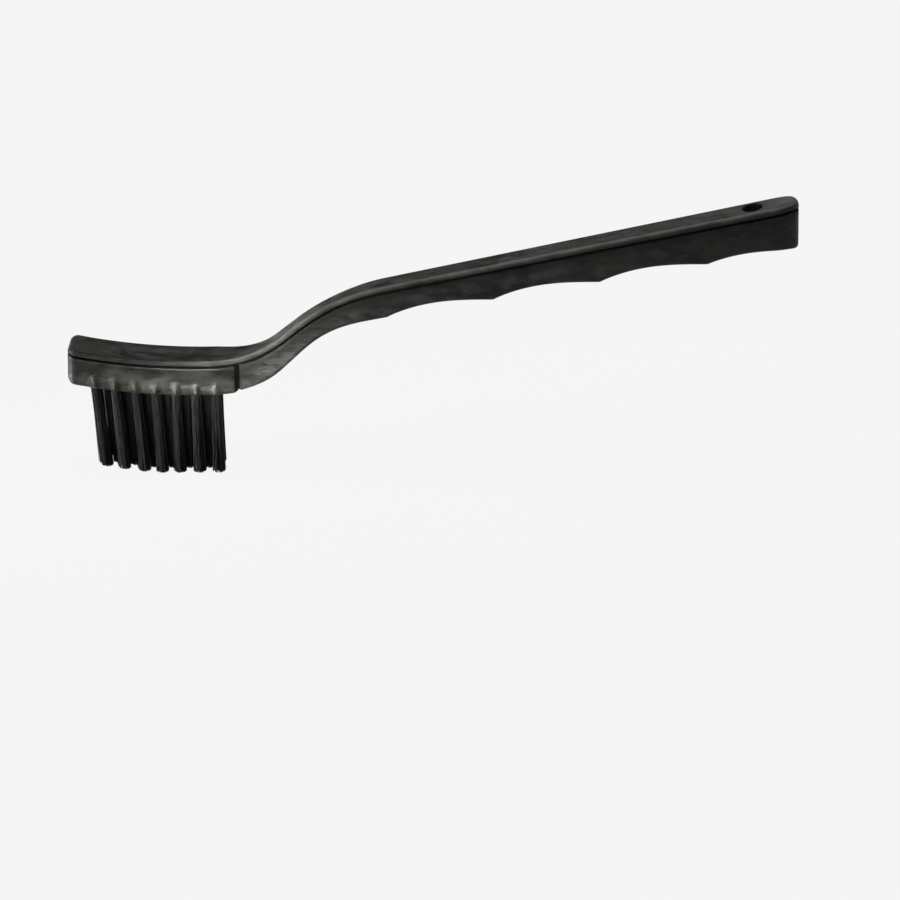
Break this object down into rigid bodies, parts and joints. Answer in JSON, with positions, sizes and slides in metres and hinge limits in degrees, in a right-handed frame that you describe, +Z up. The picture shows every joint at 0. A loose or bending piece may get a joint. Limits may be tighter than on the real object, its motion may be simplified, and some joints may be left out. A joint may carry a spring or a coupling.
{
  "type": "anti-static hand brush",
  "caption": "Slim hand brush for cleaning circuit boards: conductive tufts under a curved head, a bent neck and a long grip with finger grooves and a hang hole.",
  "frame": {"origin": "on the plane that the bristle tips touch, below the middle of the brush's length and width", "axes": "+X from the nose of the head to the tail of the handle, +Y across the brush, +Z up, away from the bristle tips"},
  "size_m": [0.1712, 0.0096, 0.0694],
  "materials": {
    "handle_plastic": "semi-matt moulded black plastic with a slight mottle",
    "block_plastic": "semi-matt moulded black plastic",
    "filament": "black conductive filament, slightly glossy",
    "anchor_metal": "bright flat wire"
  },
  "bodies": {
    "root": {"handle": "handle_plastic", "bristle_block": "block_plastic", "tuft_front_1": "filament", "tuft_front_2": "filament", "tuft_front_3": "filament", "tuft_front_4": "filament", "tuft_front_5": "filament", "tuft_front_6": "filament", "tuft_front_7": "filament", "tuft_middle_1": "filament", "tuft_middle_2": "filament", "tuft_middle_3": "filament", "tuft_middle_4": "filament", "tuft_middle_5": "filament", "tuft_middle_6": "filament", "tuft_back_1": "filament", "tuft_back_2": "filament", "tuft_back_3": "filament", "tuft_back_4": "filament", "tuft_back_5": "filament", "tuft_back_6": "filament", "tuft_back_7": "filament", "anchor_front_1": "anchor_metal", "anchor_front_2": "anchor_metal", "anchor_front_3": "anchor_metal", "anchor_front_4": "anchor_metal", "anchor_front_5": "anchor_metal", "anchor_front_6": "anchor_metal", "anchor_front_7": "anchor_metal", "anchor_middle_1": "anchor_metal", "anchor_middle_2": "anchor_metal", "anchor_middle_3": "anchor_metal", "anchor_middle_4": "anchor_metal", "anchor_middle_5": "anchor_metal", "anchor_middle_6": "anchor_metal", "anchor_back_1": "anchor_metal", "anchor_back_2": "anchor_metal", "anchor_back_3": "anchor_metal", "anchor_back_4": "anchor_metal", "anchor_back_5": "anchor_metal", "anchor_back_6": "anchor_metal", "anchor_back_7": "anchor_metal"}
  },
  "joints": []
}
